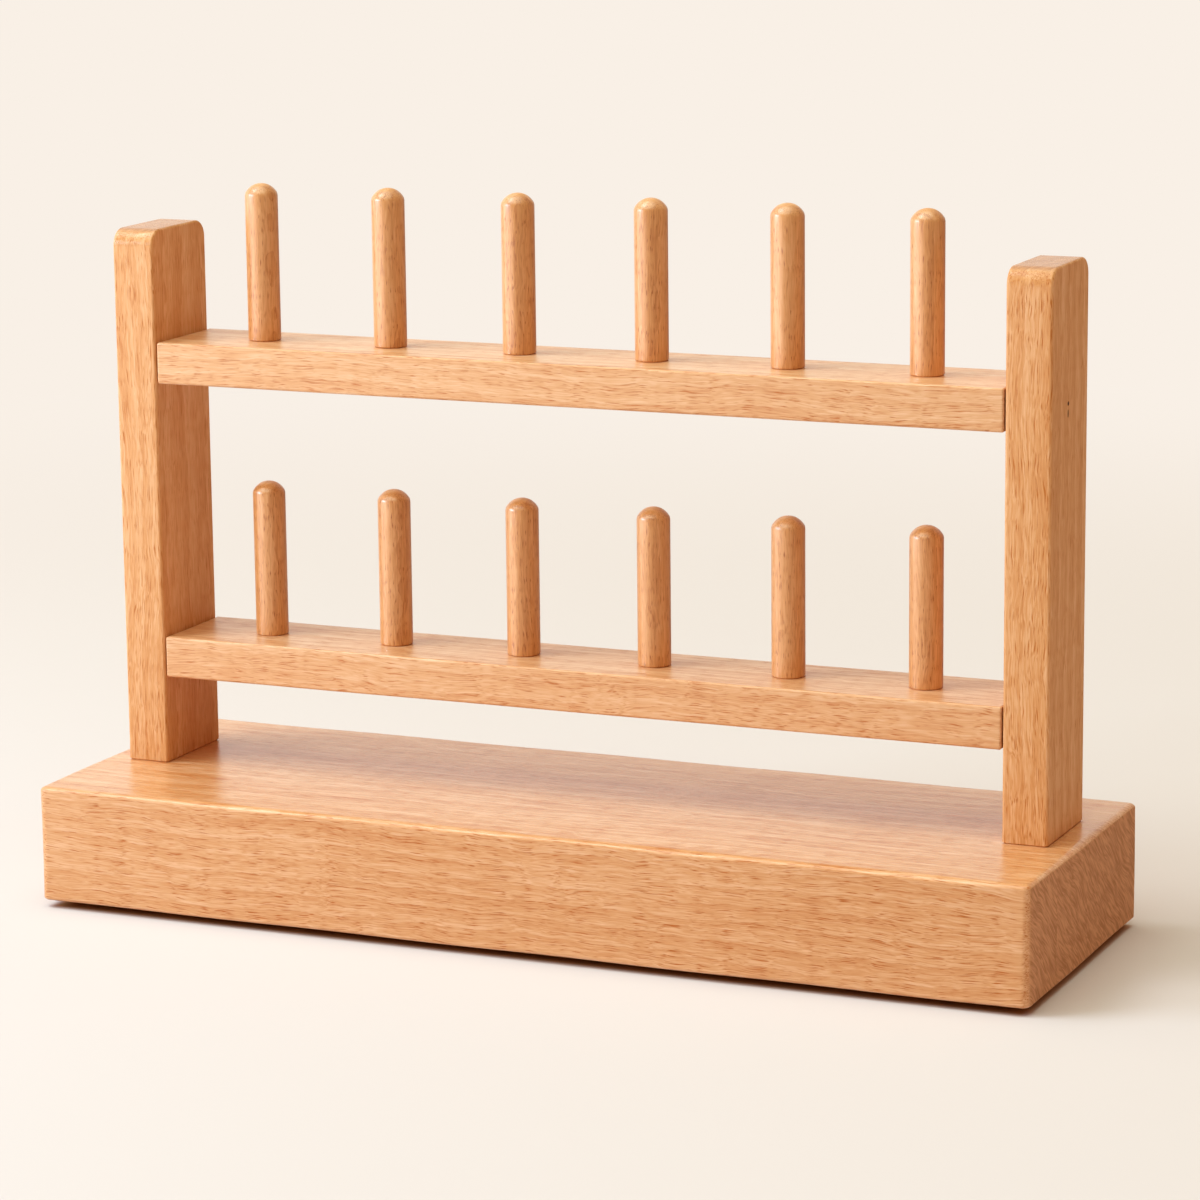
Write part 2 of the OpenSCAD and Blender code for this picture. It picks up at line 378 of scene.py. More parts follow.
def board_spaces(tree, place, grain):
    """The straight, the swayed and the rippled space of a board, in mm.

    Each bent space is the one before it, plus a noise times the shift of the bend.
    """
    turn = math.pi / 2 if grain == "Z" else 0
    straight = add_node(
        tree,
        "ShaderNodeMapping",
        {"Scale": (1 / MM,) * 3, "Rotation": (0, turn, 0)},
        {"Vector": place.outputs["Object"]},
    )
    spaces = [straight.outputs[0]]
    for size, shift in (SWAY, RIPPLE):
        noise = grain_noise(tree, spaces[-1], size)
        moved = add_node(
            tree,
            "ShaderNodeVectorMath",
            {"operation": "MULTIPLY_ADD", 1: shift},
            {0: noise.outputs["Color"], 2: spaces[-1]},
        )
        spaces.append(moved.outputs[0])
    return spaces


print("fibres sway over", SWAY[0][0], "mm and ripple over", RIPPLE[0][0], "mm")

# %% [markdown]
# ## Rings, streaks and fibres
# The figure is one number at each spot, its depth: 0 is the palest wood and 1 the darkest. It adds
# up layers, and each layer is a pattern with its share. The first ones run through the whole wood:
# growth rings round the heart of the trunk, which lies off the piece, long streaks, fine fibre and
# a slow drift of tone.

# %% Rings, streaks and fibres
# Growth rings: their share of the depth, their spacing in mm, how far they wobble, and the way
# from the heart of the trunk to the middle of the stand, in mm.
RINGS_SHARE = 0.12
RING_SPACING = 5.0
RING_WOBBLE = 1.5
HEART = (0, 70, 55)
# At a scale of 1, a wave repeats after this length.
WAVE_PERIOD = 2 * math.pi / 20
# Noises that run with the grain: length and width in mm, and their share of the depth. Real fibres
# are a tenth as wide, and are drawn as coarse as they need to show.
STREAKS = (60, 1.1, 0.13)
FIBRES = (9, 0.34, 0.54)
DRIFT = (100, 6, 0.2)


def growth_rings(tree, rippled):
    """Rings at an even spacing about the heart: each is pale at first and darkens to a sharp line."""
    from_heart = add_node(tree, "ShaderNodeVectorMath", {"operation": "ADD", 1: HEART}, {0: rippled})
    wave = add_node(
        tree,
        "ShaderNodeTexWave",
        {
            "wave_type": "RINGS",
            "rings_direction": "X",
            "wave_profile": "SAW",
            "Scale": WAVE_PERIOD / RING_SPACING,
            "Distortion": RING_WOBBLE,
            "Detail Scale": RING_WOBBLE,
        },
        {"Vector": from_heart.outputs[0]},
    )
    return wave.outputs["Fac"]


def streaks(tree, swayed, rippled):
    """Layers of streaks, fibre and drift: each a noise that is long with the grain and thin across."""
    layers = []
    for space, (length, width, share) in ((swayed, STREAKS), (rippled, FIBRES), (swayed, DRIFT)):
        noise = grain_noise(tree, space, (length, width, width))
        layers.append((noise.outputs["Fac"], share))
    return layers


print("rings", RING_SPACING, "mm apart, fibres", FIBRES[1], "mm wide")

# %% [markdown]
# ## Flecks and lines
# Flecks could be drawn one by one, but there are thousands. A Voronoi texture cuts space into cells
# with one heart each. Stretched along the grain, the neighbourhood of each heart is a dash that
# tapers at both ends. Chance leaves some cells empty, and fewer of them along the dark side of a
# ring. Marks are plain on fronts and tops, and fainter on the sides.

# %% Flecks and lines
# Marks: length and width in mm of the cell that holds one, how far from its heart the mark begins
# and is full, what share of the cells stays empty, and how deep the mark is.
FLECKS = (8.5, 0.36, 0.56, 0.3, 0.44, 0.37)
PEG_FLECKS = (3.2, 0.36, 0.56, 0.3, 0.56, 0.4)
THREADS = (24, 0.44, 0.5, 0.2, 0.5, 0.28)
GRIT = (4.0, 0.36, 0.6, 0.2, 0.3, 0.2)
# What a ring adds to the chance of a mark, and the range of chance over which marks grow full.
RING_CROWD = 0.12
CROWD_SOFTNESS = 0.3
# How plainly marks show on a side, where fronts and tops have 1.
SIDE_MARKS = 0.6
# Lines on the tops: length, width and thickness in mm, and their share of the depth. A top is seen
# at a low angle, so they are drawn wider than true to show.
TOP_LINES = (26, 1.25, 12, 0.23)
# Most of a noise lies between these values, so stretching them to 0 and 1 gives it full contrast.
NOISE_SPAN = {"From Min": 0.35, "From Max": 0.65}


def turned_faces(tree, place):
    """How far a face looks along each axis, either way, and how plainly it shows its marks."""
    either_way = add_node(
        tree, "ShaderNodeVectorMath", {"operation": "ABSOLUTE"}, {0: place.outputs["Normal"]}
    )
    facing = add_node(tree, "ShaderNodeSeparateXYZ", links={0: either_way.outputs[0]})
    not_side = add_node(
        tree, "ShaderNodeMath", {"operation": "ADD"}, {0: facing.outputs["Z"], 1: facing.outputs["Y"]}
    )
    plainness = add_node(
        tree, "ShaderNodeMapRange", {"To Min": SIDE_MARKS}, {"Value": not_side.outputs[0]}
    )
    return facing, plainness.outputs[0]


def top_lines(tree, swayed, facing):
    """Layer of the lines on tops: a noise swung about zero, times how far the face looks up."""
    noise = grain_noise(tree, swayed, TOP_LINES[:3])
    swing = add_node(
        tree,
        "ShaderNodeMapRange",
        {**NOISE_SPAN, "To Min": -0.5, "To Max": 0.5},
        {"Value": noise.outputs["Fac"]},
    )
    line = add_node(
        tree, "ShaderNodeMath", {"operation": "MULTIPLY"}, {0: swing.outputs[0], 1: facing.outputs["Z"]}
    )
    return line.outputs[0], TOP_LINES[3]


def grain_marks(tree, rippled, ring, plainness, kinds):
    """Layers of marks: nearness to the cell's heart, times how full the cell is, times plainness."""
    layers = []
    for length, width, rim, core, empty, deep in kinds:
        cells = add_node(
            tree, "ShaderNodeVectorMath", {"operation": "DIVIDE", 1: (length, width, width)}, {0: rippled}
        )
        cell = add_node(
            tree,
            "ShaderNodeTexVoronoi",
            {"distance": "MANHATTAN", "Scale": 1},
            {"Vector": cells.outputs[0]},
        )
        shape = add_node(
            tree,
            "ShaderNodeMapRange",
            {"interpolation_type": "SMOOTHSTEP", "From Min": rim, "From Max": core},
            {"Value": cell.outputs["Distance"]},
        )
        chance = add_node(tree, "ShaderNodeSeparateColor", links={0: cell.outputs["Color"]})
        crowd = add_node(
            tree,
            "ShaderNodeMath",
            {"operation": "MULTIPLY_ADD", 1: RING_CROWD},
            {0: ring, 2: chance.outputs[0]},
        )
        fill_start = empty + RING_CROWD / 2
        filled = add_node(
            tree,
            "ShaderNodeMapRange",
            {"From Min": fill_start, "From Max": fill_start + CROWD_SOFTNESS},
            {"Value": crowd.outputs[0]},
        )
        mark = shape.outputs[0]
        for factor in (filled.outputs[0], plainness):
            product = add_node(tree, "ShaderNodeMath", {"operation": "MULTIPLY"}, {0: mark, 1: factor})
            mark = product.outputs[0]
        layers.append((mark, deep))
    return layers


print("flecks in cells of", FLECKS[0], "by", FLECKS[1], "mm, on the pegs", PEG_FLECKS[0], "mm long")

# %% [markdown]
# ## Nicks, knots and tones
# Where an eased edge turns from the long grain to a cut end, sanding leaves short dark nicks. One
# post has a pin knot, a small dark spot with a tail along the grain. With those the depth of the
# figure is complete, and a ramp turns it into the tones of the wood.

# %% Nicks, knots and tones
# Nicks: length and width in mm, their share of the depth, and the noise values over which they grow.
NICKS = (20, 0.7, 0.2)
NICK_SPAN = {"From Min": 0.5, "From Max": 0.65}
# Depths at which the wood is light, of the body tone, and as dark as its deepest mark.
TONE_DEPTHS = (0.32, 0.52, 0.9)
DEEPEST_MARK = TONE_DEPTHS[-1]
# A knot goes on to a depth of 1. It begins at its radii and is full at a share of them.
KNOT_TONE = "4E2A14"
KNOT_SPAN = {"From Min": 1.0, "From Max": 0.6}


def edge_nicks(tree, board, along):
    """Layer of nicks: a noise, times how far the face looks along the grain and how far it doesn't."""
    away = add_node(tree, "ShaderNodeMath", {"operation": "SUBTRACT", 0: 1}, {1: along})
    edge = add_node(tree, "ShaderNodeMath", {"operation": "MULTIPLY"}, {0: along, 1: away.outputs[0]})
    length, width, share = NICKS
    noise = grain_noise(tree, board, (length, width, width), detail=0)
    nicked = add_node(tree, "ShaderNodeMapRange", NICK_SPAN, {"Value": noise.outputs["Fac"]})
    nick = add_node(
        tree, "ShaderNodeMath", {"operation": "MULTIPLY"}, {0: edge.outputs[0], 1: nicked.outputs[0]}
    )
    return nick.outputs[0], share


def figure_depth(tree, layers, board, knots):
    """Sum of each layer times its share, held at the deepest mark, with the knots laid over it.

    A knot is full near its middle and fades out at its radii.
    """
    depth = None
    for layer, share in layers:
        added = add_node(
            tree, "ShaderNodeMath", {"operation": "MULTIPLY_ADD", 1: share, 2: 0}, {0: layer}
        )
        if depth:
            tree.links.new(depth, added.inputs[2])
        depth = added.outputs[0]
    held = add_node(tree, "ShaderNodeMath", {"operation": "MINIMUM", 1: DEEPEST_MARK}, {0: depth})
    depth = held.outputs[0]
    for middle, radii in knots:
        way = add_node(tree, "ShaderNodeVectorMath", {"operation": "SUBTRACT", 1: middle}, {0: board})
        way = add_node(
            tree, "ShaderNodeVectorMath", {"operation": "DIVIDE", 1: radii}, {0: way.outputs[0]}
        )
        way = add_node(tree, "ShaderNodeVectorMath", {"operation": "LENGTH"}, {0: way.outputs[0]})
        knot = add_node(tree, "ShaderNodeMapRange", KNOT_SPAN, {"Value": way.outputs["Value"]})
        deeper = add_node(
            tree, "ShaderNodeMath", {"operation": "MAXIMUM"}, {0: knot.outputs[0], 1: depth}
        )
        depth = deeper.outputs[0]
    return depth


def long_grain(tree, depth, tones):
    """Colour of the long grain: the ramp from light over body and dark to the tone of a knot."""
    ramp = add_node(tree, "ShaderNodeValToRGB", links={0: depth})
    stops = ramp.color_ramp.elements
    stops[0].position = TONE_DEPTHS[0]
    stops[0].color = linear(tones[0])
    stops[1].color = linear(KNOT_TONE)
    for position, tone in zip(TONE_DEPTHS[1:], tones[1:]):
        stops.new(position).color = linear(tone)
    return ramp.outputs[0]


print("tones change at depths", TONE_DEPTHS)

# %% [markdown]
# ## Cut ends
# On a cut end the fibres are seen end on, as short slanted lines, and the wood is darker because
# its open pores drink the lacquer. The base is glued up from staves, so its lines change course at
# each glue joint. A wave texture would give even stripes, so a noise is stretched along a slant.

# %% Cut ends
# How far along the grain a face has to look to begin and to be a cut end.
END_SPAN = {"interpolation_type": "SMOOTHSTEP", "From Min": 0.75, "From Max": 0.98}
# Lines on a cut end: depth into the wood, length and width in mm, and their slant.
END_LINES = (20, 6, 0.58)
END_SLANT = math.radians(-40)
END_WOBBLE = 0.5
STAVE_SHIFT = (0, 31, 47)


def cut_ends(tree, board, rippled, along, tones, joints):
    """Where a face is a cut end, and its colour: a slanted noise between two tones.

    Beyond each joint across the board, the space of the noise is shifted to another place.
    """
    is_end = add_node(tree, "ShaderNodeMapRange", END_SPAN, {"Value": along})
    course = rippled
    across = add_node(tree, "ShaderNodeSeparateXYZ", links={0: board})
    for joint in joints:
        beyond = add_node(
            tree, "ShaderNodeMath", {"operation": "GREATER_THAN", 1: joint}, {0: across.outputs["Y"]}
        )
        shifted = add_node(
            tree,
            "ShaderNodeVectorMath",
            {"operation": "MULTIPLY_ADD", 1: STAVE_SHIFT},
            {0: beyond.outputs[0], 2: course},
        )
        course = shifted.outputs[0]
    slanted = add_node(
        tree,
        "ShaderNodeMapping",
        {"vector_type": "TEXTURE", "Rotation": (END_SLANT, 0, 0), "Scale": END_LINES},
        {"Vector": course},
    )
    lines = add_node(
        tree,
        "ShaderNodeTexNoise",
        {"Scale": 1, "Detail": 1, "Distortion": END_WOBBLE},
        {"Vector": slanted.outputs[0]},
    )
    contrast = add_node(tree, "ShaderNodeMapRange", NOISE_SPAN, {"Value": lines.outputs["Fac"]})
    ramp = add_node(tree, "ShaderNodeValToRGB", links={0: contrast.outputs[0]})
    for stop, tone in zip(ramp.color_ramp.elements, tones):
        stop.color = linear(tone)
    return is_end.outputs[0], ramp.outputs[0]


print("lines on cut ends", END_LINES[1], "by", END_LINES[2], "mm")

# %% [markdown]
# ## Lacquer
# Satin lacquer is a thin clear film: it shines softly, and the wood shows through. The marks sink a
# little under it. Its sheen is softer over dark marks and on the side faces, and the cut ends have
# no film left. The coat of the Principled shader is that film, and its base is the wood below.

# %% Lacquered beech
LACQUER_IOR = 1.5
CARVE_DEPTH = 0.09 * MM
# Roughness of wood up to the pale depth, and of the darkest, as shares of the film's own roughness.
PALE_DEPTH = 0.2
PALE_ROUGHNESS = 0.7
DARK_ROUGHNESS = 1.25
# What is added to it on a side.
SIDE_ROUGHNESS = 0.5


def beech(name, grain, gloss, film, tones, ends, flecks=FLECKS, joints=(), knots=()):
    """Beech, planed and sanded, under satin lacquer. Its fibres follow the axis grain, X or Z.

    Gloss is the shine of the wood itself, and film the weight and the roughness of the lacquer.
    Tones are light, body and dark, and ends the two tones of a cut end. Joints are the glue lines
    across a block of staves, and knots the middles and radii of dark spots, all in mm. The depth of
    the figure picks the tone, sinks the surface a little and makes it rougher.
    """
    material, out = blank_material(name)
    tree = material.node_tree
    place = add_node(tree, "ShaderNodeTexCoord")
    board, swayed, rippled = board_spaces(tree, place, grain)
    facing, plainness = turned_faces(tree, place)
    along = facing.outputs[grain]
    ring = growth_rings(tree, rippled)
    layers = [
        (ring, RINGS_SHARE),
        *streaks(tree, swayed, rippled),
        top_lines(tree, swayed, facing),
        *grain_marks(tree, rippled, ring, plainness, (flecks, THREADS, GRIT)),
        edge_nicks(tree, board, along),
    ]
    depth = figure_depth(tree, layers, board, knots)
    is_end, end_colour = cut_ends(tree, board, rippled, along, ends, joints)
    colour = add_node(
        tree,
        "ShaderNodeMix",
        {"data_type": "RGBA"},
        {0: is_end, 6: long_grain(tree, depth, tones), 7: end_colour},
    )
    carve = add_node(
        tree,
        "ShaderNodeBump",
        {"invert": True, "Distance": CARVE_DEPTH},
        {"Height": depth, "Strength": plainness},
    )
    weight, roughness = film
    sheen = add_node(
        tree,
        "ShaderNodeMapRange",
        {
            "From Min": PALE_DEPTH,
            "To Min": PALE_ROUGHNESS * roughness,
            "To Max": DARK_ROUGHNESS * roughness,
        },
        {"Value": depth},
    )
    dull = add_node(
        tree,
        "ShaderNodeMath",
        {"operation": "MULTIPLY_ADD", 1: SIDE_ROUGHNESS},
        {0: facing.outputs["X"], 2: sheen.outputs[0]},
    )
    wood = add_node(
        tree,
        "ShaderNodeBsdfPrincipled",
        {"IOR": LACQUER_IOR, "Specular IOR Level": gloss, "Coat Weight": 0, "Coat Roughness": roughness},
        {"Base Color": colour.outputs[2], "Roughness": dull.outputs[0], "Normal": carve.outputs[0]},
    )
    if weight:
        skin = add_node(tree, "ShaderNodeMapRange", {"To Min": weight, "To Max": 0}, {"Value": is_end})
        tree.links.new(skin.outputs[0], wood.inputs["Coat Weight"])
    tree.links.new(wood.outputs[0], out.inputs["Surface"])
    print(name, "with", len(tree.nodes), "nodes")
    return material


print("marks sink", round(CARVE_DEPTH / MM, 2), "mm under the lacquer")

# %% [markdown]
# ## Four finishes of one wood
# The pieces are of the same beech, but not from the same board, and each was finished in its own
# way. The base has a fuller film, the posts a thin one, and the turned pegs shine most. The cut ends
# are a dull brown, while the domes of the pegs were sanded smooth and stay pale.

# %% Beech finishes
CUT_TONES = ("D49A71", "B47B54")
DOME_TONES = ("ECB07A", "DA9756")
STAVE_JOINTS = (-25, 2)
# The pin knot on the outer face of the right post, and its tail.
PIN_KNOT = (((155.5, 5.6, -142), (0.9, 1.1, 0.8)), ((152.8, 5.5, -142), (1.7, 0.65, 0.6)))

block_beech = beech(
    "lacquered_beech_block",
    grain="X",
    gloss=0.15,
    film=(0.7, 0.29),
    tones=("E8B38A", "D99B68", "B8601A"),
    ends=CUT_TONES,
    joints=STAVE_JOINTS,
)
strip_beech = beech(
    "lacquered_beech_strip",
    grain="X",
    gloss=0.2,
    film=(0.6, 0.38),
    tones=("EBBC94", "DFA676", "BF6D30"),
    ends=CUT_TONES,
)
post_beech = beech(
    "lacquered_beech_post",
    grain="Z",
    gloss=0.3,
    film=(0.12, 0.26),
    tones=("EAB486", "DB9B63", "BA6820"),
    ends=CUT_TONES,
    knots=PIN_KNOT,
)
peg_beech = beech(
    "lacquered_beech_peg",
    grain="Z",
    gloss=0.5,
    film=(0.9, 0.3),
    tones=("E6A872", "D59052", "A85514"),
    ends=DOME_TONES,
    flecks=PEG_FLECKS,
)

# %% [markdown]
# ## Putting grids into meshes
# Each piece is a handful of grids: a grid is an array of points with rows and columns, and four
# neighbours make a face. Whole arrays go into the mesh at once. Neighbouring grids repeat the
# points along their shared border, so merging the doubles closes the shell.

# %% Mesh helper
# Points closer than this become one, and edges that turn by more than this angle stay sharp.
MERGE = 0.001 * MM
CREASE = math.radians(32)


def grid_faces(rows, columns, first):
    """Corner numbers of the quads of a grid: each point with its next in row, in both, in column."""
    number = first + np.arange(rows * columns).reshape(rows, columns)
    corners = (number[:-1, :-1], number[1:, :-1], number[1:, 1:], number[:-1, 1:])
    return np.stack(corners, axis=-1)


def closed_piece(name, grids, finish, body):
    """Joins grids, given as points with a mask of the faces to keep, into one closed piece."""
    points = np.concatenate([grid.reshape(-1, 3) for grid, keep in grids])
    starts = np.cumsum([0] + [grid.shape[0] * grid.shape[1] for grid, keep in grids])
    faces = np.concatenate(
        [grid_faces(*grid.shape[:2], start)[keep] for (grid, keep), start in zip(grids, starts)]
    )
    mesh = bpy.data.meshes.new(name)
    mesh.from_pydata(points.tolist(), [], faces.tolist())
    shell = bmesh.new()
    shell.from_mesh(mesh)
    bmesh.ops.remove_doubles(shell, verts=shell.verts, dist=MERGE)
    bmesh.ops.recalc_face_normals(shell, faces=shell.faces)
    open_edges = sum(not edge.is_manifold for edge in shell.edges)
    shell.to_mesh(mesh)
    shell.free()
    mesh.shade_smooth()
    mesh.set_sharp_from_angle(angle=CREASE)
    mesh.materials.append(finish)
    piece = bpy.data.objects.new(name, mesh)
    bpy.context.scene.collection.objects.link(piece)
    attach(piece, body)
    print(name, len(mesh.polygons), "faces,", open_edges, "open edges")
    return piece


def whole(grid):
    """A grid with all its faces kept."""
    return grid, np.ones((grid.shape[0] - 1, grid.shape[1] - 1), bool)


print("edges that turn by more than", round(math.degrees(CREASE)), "degrees stay sharp")

# %% [markdown]
# ## Base and rails: blocks with eased edges
# The base and the rails are sawn blocks whose edges were run over with sandpaper. A bevel modifier
# on a cube would do, but every edge would come out the same, and the holes would leave long thin
# faces. Here a sharp block is mapped to an eased one: each point goes to the nearest point of a
# block shrunk by the easing, and from there out again by the easing. On the flats nothing moves,
# and the edges become true arcs. The easing wanders a little along each edge, as hand work does.

# %% Eased faces
ROUND_STEPS = 5
# How much of the easing comes and goes along an edge, and over which length.
WANDER = 0.14
WANDER_LENGTH = 71 * MM
# A line of points close behind the rounding, as a share of it, keeps the flats flat.
HOLD = 0.2


def stations(low, high, radius, marks, cells):
    """Stations across a block, where its grid has lines.

    The rounding has them at the radius times the tangent of even angles up to 45 degrees. Then come
    a holding line, even cells between the marks, and the same again at the far side.
    """
    rounding = radius * np.tan(np.linspace(0, math.pi / 4, ROUND_STEPS + 1))
    hold = HOLD * radius
    edges = np.array([low + radius + hold, *marks, high - radius - hold])
    inner = [np.linspace(a, b, n, endpoint=False) for a, b, n in zip(edges[:-1], edges[1:], cells)]
    return np.concatenate(
        [low + radius - rounding[::-1], *inner, edges[-1:], high - radius + rounding]
    )


def eased(sharp, half, radius):
    """Nearest point of the block shrunk by the easing, plus the easing along the way out from there.

    The easing has its own size along each axis, so the way out is measured in easings.
    """
    phase = sharp.sum(axis=-1, keepdims=True) * 2 * math.pi / WANDER_LENGTH
    ease = radius * (1 - WANDER + WANDER * np.sin(phase))
    core = np.clip(sharp, ease - half, half - ease)
    outward = (sharp - core) / ease
    return core + ease * outward / np.linalg.norm(outward, axis=-1, keepdims=True)


def block_face(lines, half, radius, axis, side):
    """One face of an eased block about the origin: the grid of two sets of lines at the third's end."""
    across, along = (k for k in range(3) if k != axis)
    sharp = np.empty((len(lines[across]), len(lines[along]), 3))
    sharp[..., across] = lines[across][:, None]
    sharp[..., along] = lines[along][None, :]
    sharp[..., axis] = side * half[axis]
    return eased(sharp, half, radius)


print("easing wanders by a share of", WANDER, "over", round(WANDER_LENGTH / MM), "mm")

# %% [markdown]
# ## Drilled blocks
# A hole could be cut with a boolean, but that leaves ragged faces round it. Here a rectangle of the
# grid is left out, and rings take its place: they start on the rectangle, turn round on the way in,
# and run down the wall of the hole to its floor.

# %% Drilled blocks
COLLAR_STEPS = 3


def drilled(grid, lines, hole, reach, profile, side):
    """Rings from a rectangle of the grid in to a round hole, and down its profile to the floor.

    A ring between the two is the rectangle's loop blended with the hole's circle. Further rings are
    circles with the radius and the depth that the profile gives.
    """
    x0, x1 = (np.abs(lines[0] - edge).argmin() for edge in (hole[0] - reach[0], hole[0] + reach[0]))
    y0, y1 = (np.abs(lines[1] - edge).argmin() for edge in (hole[1] - reach[1], hole[1] + reach[1]))
    loop = np.concatenate(
        [
            grid[x0:x1, y0],
            grid[x1, y0:y1],
            grid[x1:x0:-1, y1],
            grid[x0, y1:y0:-1],
            grid[x0 : x0 + 1, y0],
        ]
    )
    # Angles of the corners of the rectangle, in the order of the loop.
    corners = np.radians([225, 315, 405, 495])
    counts = (x1 - x0, y1 - y0, x1 - x0, y1 - y0)
    angle = np.concatenate(
        [a + np.arange(n) / n * math.pi / 2 for a, n in zip(corners, counts)] + [corners[:1]]
    )
    spokes = np.stack([np.cos(angle), np.sin(angle), np.zeros_like(angle)], axis=-1)
    middle = np.array([hole[0], hole[1], grid[x0, y0, 2]])
    rings = middle + spokes * profile[:, :1, None]
    rings[..., 2] -= side * profile[:, 1:]
    blend = np.linspace(0, 1, COLLAR_STEPS, endpoint=False)[:, None, None]
    collar = loop * (1 - blend) + rings[0] * blend
    keep = whole(grid)[1]
    keep[x0:x1, y0:y1] = False
    return whole(np.concatenate([collar, rings])), keep


def block(low, high, radius, marks, cells, holes, reach, profile, side):
    """Grids of an eased block from low to high, drilled through its top (side 1) or underside (-1)."""
    centre = (low + high) / 2
    half = (high - low) / 2
    lines = [
        stations(low[k] - centre[k], high[k] - centre[k], radius[k], marks[k] - centre[k], cells[k])
        for k in range(3)
    ]
    grids = []
    for axis in range(3):
        for end in (-1, 1):
            face, keep = whole(block_face(lines, half, radius, axis, end))
            if axis == 2 and end == side:
                for hole in holes:
                    patch, left = drilled(face, lines, hole - centre[:2], reach, profile, side)
                    grids.append(patch)
                    keep &= left
            grids.append((face, keep))
    return [(grid + centre, keep) for grid, keep in grids]


print("holes open through", COLLAR_STEPS, "rings")

# %% [markdown]
# ## Base
# The base is one thick block, heavy enough that drawing thread doesn't pull the stand over. Its
# edges are rounder across than they are high, as a sander leaves them. Four counterbores underneath
# hold the screws of the posts, so the grid of the underside is opened there.

# %% Base
BASE_ROUNDING = np.array((2.6, 2.6, 1.4)) * MM
BORE_RADIUS = 4.5 * MM
BORE_DEPTH = 6 * MM
SEAT_RADIUS = 2.05 * MM
SEAT_DEPTH = 8.4 * MM
BORE_EASE = 0.2 * MM
SCREW_SPACING = 16 * MM


def box_of(node):
    """Lowest and highest corner of a node of the frame, as arrays."""
    return (np.array(corner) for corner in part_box(node))


base_low, base_high = box_of("base")
post_low, post_high = box_of("right_post")
row_y = (post_low[1] + post_high[1]) / 2
post_x = (post_low[0] + post_high[0]) / 2
bore_reach = (SCREW_SPACING / 2, SCREW_SPACING / 2)
bores = [np.array((x, row_y + y)) for x in (-post_x, post_x) for y in (-bore_reach[1], bore_reach[1])]
# Radius and depth from the eased mouth down to the cone under the screw's head.
bore_profile = np.array(
    [
        (BORE_RADIUS + BORE_EASE, 0),
        (BORE_RADIUS, BORE_EASE),
        (BORE_RADIUS, BORE_DEPTH),
        (BORE_RADIUS - BORE_EASE, BORE_DEPTH),
        (SEAT_RADIUS, SEAT_DEPTH),
        (0, SEAT_DEPTH),
    ]
)
# Lines of the grid that bound the bores, and the number of cells between them, along each axis.
bore_sides = post_x + np.array((-1, 1)) * bore_reach[0]
base_marks = [
    np.concatenate([-bore_sides[::-1], bore_sides]),
    row_y + np.array((-2, 0, 2)) * bore_reach[1],
    np.array([]),
]
base_cells = [(1, 12, 36, 12, 1), (5, 12, 12, 3), (4,)]
base_grids = block(
    base_low, base_high, BASE_ROUNDING, base_marks, base_cells, bores, bore_reach, bore_profile, -1
)
base = closed_piece("beech_base", base_grids, block_beech, "stand")
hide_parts("base")

# %% [markdown]
# ## Rails
# Each rail is a strip with six blind sockets drilled in its top, one under each peg. At rest the
# pegs hide them, but a lifted peg leaves an open hole, so they are real holes with an eased mouth
# and a flat floor.

# %% Rails
EDGE_EASE = 0.8 * MM
SOCKET_RADIUS = 3.8 * MM
SOCKET_MOUTH = 0.2 * MM
SOCKET_DEPTH = 9 * MM
# How far the rings round a socket reach to the front and the back.
SOCKET_COLLAR = 13 * MM
ROWS = ("upper", "lower")
PEGS = range(1, 7)

socket_profile = np.array(
    [
        (SOCKET_RADIUS + SOCKET_MOUTH, 0),
        (SOCKET_RADIUS, SOCKET_MOUTH),
        (SOCKET_RADIUS, SOCKET_DEPTH),
        (0, SOCKET_DEPTH),
    ]
)
peg_x = [sum(corner.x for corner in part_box(f"upper_peg_{i}")) / 2 for i in PEGS]
pitch = peg_x[1] - peg_x[0]
bay_edges = np.array([*peg_x, peg_x[-1] + pitch]) - pitch / 2
socket_reach = (pitch / 2, SOCKET_COLLAR)
sockets = [np.array((x, row_y)) for x in peg_x]
# Lines of the grid that bound the sockets, and the number of cells between them, along each axis.
rail_marks = [bay_edges, row_y + np.array((-1, 1)) * socket_reach[1], np.array([])]
rail_cells = [(2, *[16] * len(peg_x), 2), (1, 12, 1), (3,)]
rail_ease = np.full(3, EDGE_EASE)
for row in ROWS:
    rail_low, rail_high = box_of(f"{row}_rail")
    rail_grids = block(
        rail_low, rail_high, rail_ease, rail_marks, rail_cells, sockets, socket_reach, socket_profile, 1
    )
    rail = closed_piece(f"beech_{row}_rail", rail_grids, strip_beech, "stand")
    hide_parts(f"{row}_rail")

# %% [markdown]
# ## Posts
# A post is a flat board on end. Its two top corners are rounded to 5 mm, and a fine easing runs
# round the whole outline of both broad faces, over the curve as well. So the post is its side-view
# outline carried through the thickness: in the middle the outline is full size, and towards each
# broad face it draws in along a quarter circle.

# %% Posts
POST_CORNER = 5 * MM
POST_FOOT_EASE = 0.4 * MM
UPRIGHT_STEPS = 30
ARC_STEPS = 12
TOP_STEPS = 8
SIDE_STEPS = 6


